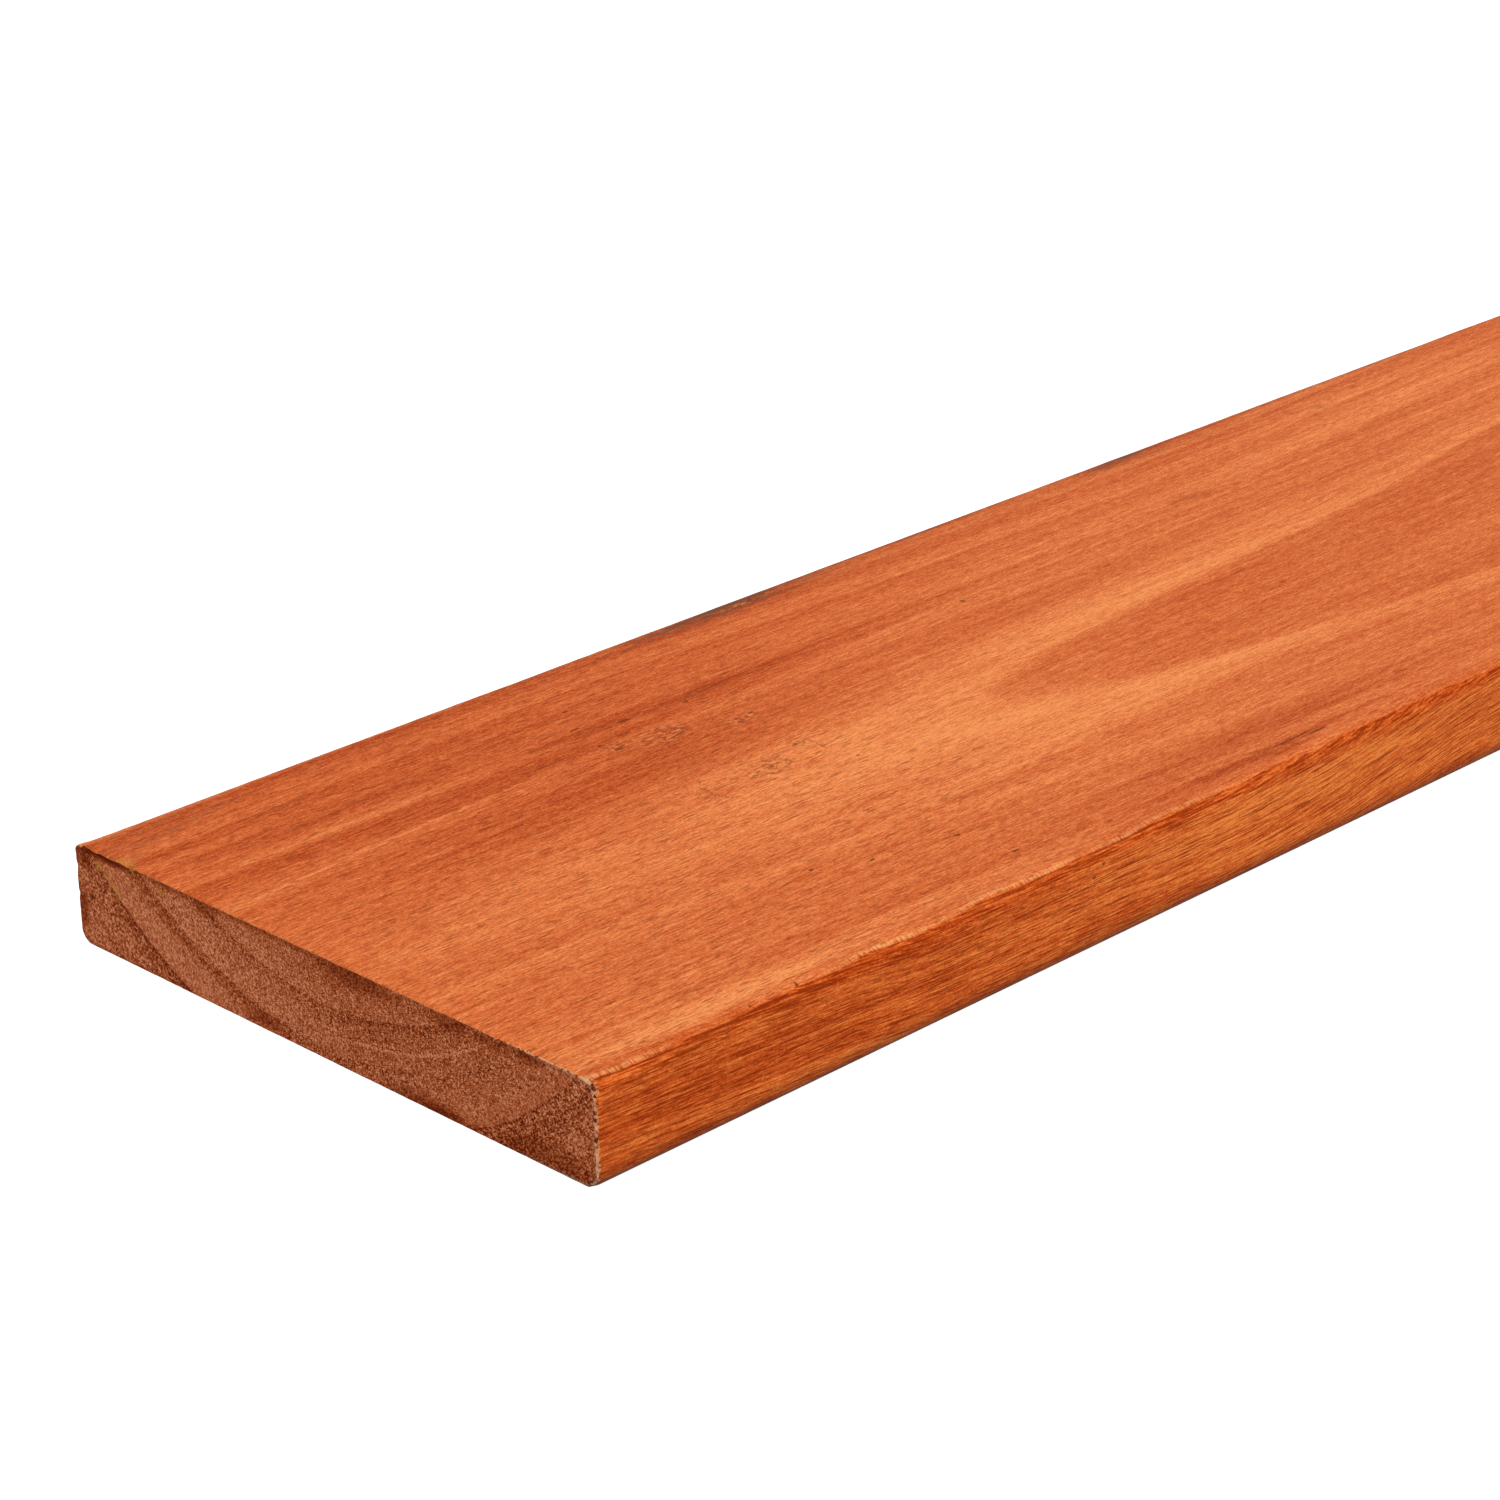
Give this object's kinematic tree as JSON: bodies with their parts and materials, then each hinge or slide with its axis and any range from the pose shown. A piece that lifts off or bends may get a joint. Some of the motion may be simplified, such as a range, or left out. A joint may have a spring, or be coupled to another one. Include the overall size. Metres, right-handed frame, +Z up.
{
  "type": "decking board",
  "caption": "Planed red hardwood decking board, smooth on both faces, with rounded long edges and square-sawn ends.",
  "frame": {"origin": "under the middle of the board, on the plane that the underside rests on", "axes": "+X along the board's length away from the end shown in the picture, +Y across its width, +Z up through its thickness to the walking face"},
  "size_m": [1.8, 0.145, 0.021],
  "materials": {
    "oiled_hardwood": "planed and oiled red hardwood, satin, with bare sawn end grain"
  },
  "bodies": {
    "root": {"decking_board": "oiled_hardwood"}
  },
  "joints": []
}
